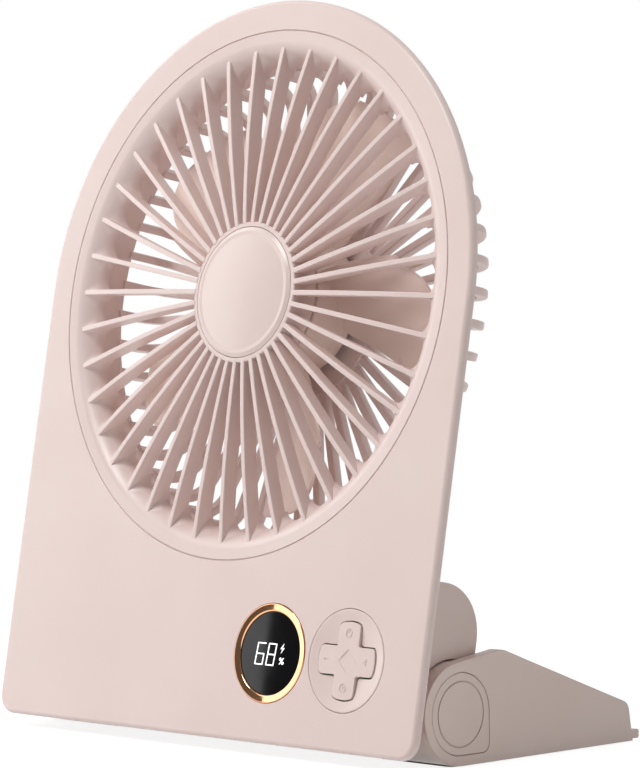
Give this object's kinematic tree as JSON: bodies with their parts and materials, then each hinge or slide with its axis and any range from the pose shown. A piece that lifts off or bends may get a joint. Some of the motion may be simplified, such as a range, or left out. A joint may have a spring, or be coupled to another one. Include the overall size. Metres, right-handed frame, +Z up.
{
  "type": "portable camping fan",
  "caption": "Folding camping fan: arched panel with a ribbed round grille, a charge display and a cross key, on a friction hinge over a wedge-shaped base tray.",
  "frame": {"origin": "middle of the anti-slip mat, on the surface that the fan stands on", "axes": "+X to the right seen from the front, +Y to the back, +Z up; the fan blows towards -Y"},
  "size_m": [0.176, 0.0983, 0.218],
  "materials": {
    "shell_plastic": "satin",
    "grille_plastic": "satin",
    "cap_plastic": "satin",
    "blade_plastic": "satin",
    "base_plastic": "satin",
    "control_plastic": "satin",
    "ring_metal": "polished",
    "lens_black": "polished",
    "digit_light": "lit",
    "module_black": "matte",
    "board_green": "matte",
    "dome_steel": "satin",
    "screw_steel": "satin",
    "hinge_steel": "satin",
    "plate_steel": "zinc plated",
    "motor_zinc": "cast",
    "bearing_bronze": "sintered",
    "core_steel": "laminated",
    "copper_wire": "enamelled",
    "cup_steel": "drawn",
    "magnet_black": "matte",
    "shaft_steel": "ground",
    "cell_wrap": "shrink wrap over the can",
    "tab_nickel": "satin",
    "socket_steel": "satin",
    "mat_rubber": "matte"
  },
  "bodies": {
    "base": {"base_shell": "base_plastic", "base_bottom_cover": "base_plastic", "base_screws": "screw_steel", "ballast_plate": "plate_steel", "foot_mat": "mat_rubber", "hinge_side_cap_right": "base_plastic", "hinge_side_cap_left": "base_plastic", "hinge_washers": "hinge_steel"},
    "head": {"front_panel": "shell_plastic", "front_grille": "grille_plastic", "hub_cap": "cap_plastic", "display_ring": "ring_metal", "display_lens": "lens_black", "display_module": "module_black", "display_digits": "digit_light", "control_dish": "control_plastic", "key_domes": "dome_steel", "control_board": "board_green", "rear_cover": "shell_plastic", "cover_screws": "screw_steel", "rear_grille": "grille_plastic", "rear_hub_cap": "cap_plastic", "motor_screws": "screw_steel", "motor_base": "motor_zinc", "motor_bearings": "bearing_bronze", "motor_board": "board_green", "stator_core": "core_steel", "motor_windings": "copper_wire", "battery_cells": "cell_wrap", "battery_tabs": "tab_nickel", "main_board": "board_green", "charging_socket": "socket_steel", "hinge_pins": "hinge_steel", "hinge_nuts": "hinge_steel"},
    "impeller": {"impeller": "blade_plastic", "rotor_cup": "cup_steel", "rotor_magnet": "magnet_black", "motor_shaft": "shaft_steel", "shaft_clip": "shaft_steel"},
    "key_rocker": {"key_rocker": "dome_steel"},
    "cross_key": {"cross_key": "control_plastic"}
  },
  "joints": [
    {"name": "head_tilt", "type": "hinge", "parent": "base", "child": "head", "pos_m": [0, -0.0343, 0.0149], "axis": [1, 0, 0], "range_deg": [-79.16, 8]},
    {"name": "impeller_spin", "type": "hinge", "parent": "head", "child": "impeller", "pos_m": [0, -0.01774, 0.12902], "axis": [0, 0.9822, -0.1881], "continuous": true},
    {"name": "key_up_down", "type": "hinge", "parent": "head", "child": "key_rocker", "pos_m": [0.0579, -0.05008, 0.02902], "axis": [1, 0, 0], "range_deg": [-2, 2], "stiffness_Nm_per_rad": 0.3},
    {"name": "key_left_right", "type": "hinge", "parent": "key_rocker", "child": "cross_key", "pos_m": [0.0579, -0.05008, 0.02902], "axis": [0, 0.1881, 0.9822], "range_deg": [-2, 2], "stiffness_Nm_per_rad": 0.3}
  ]
}
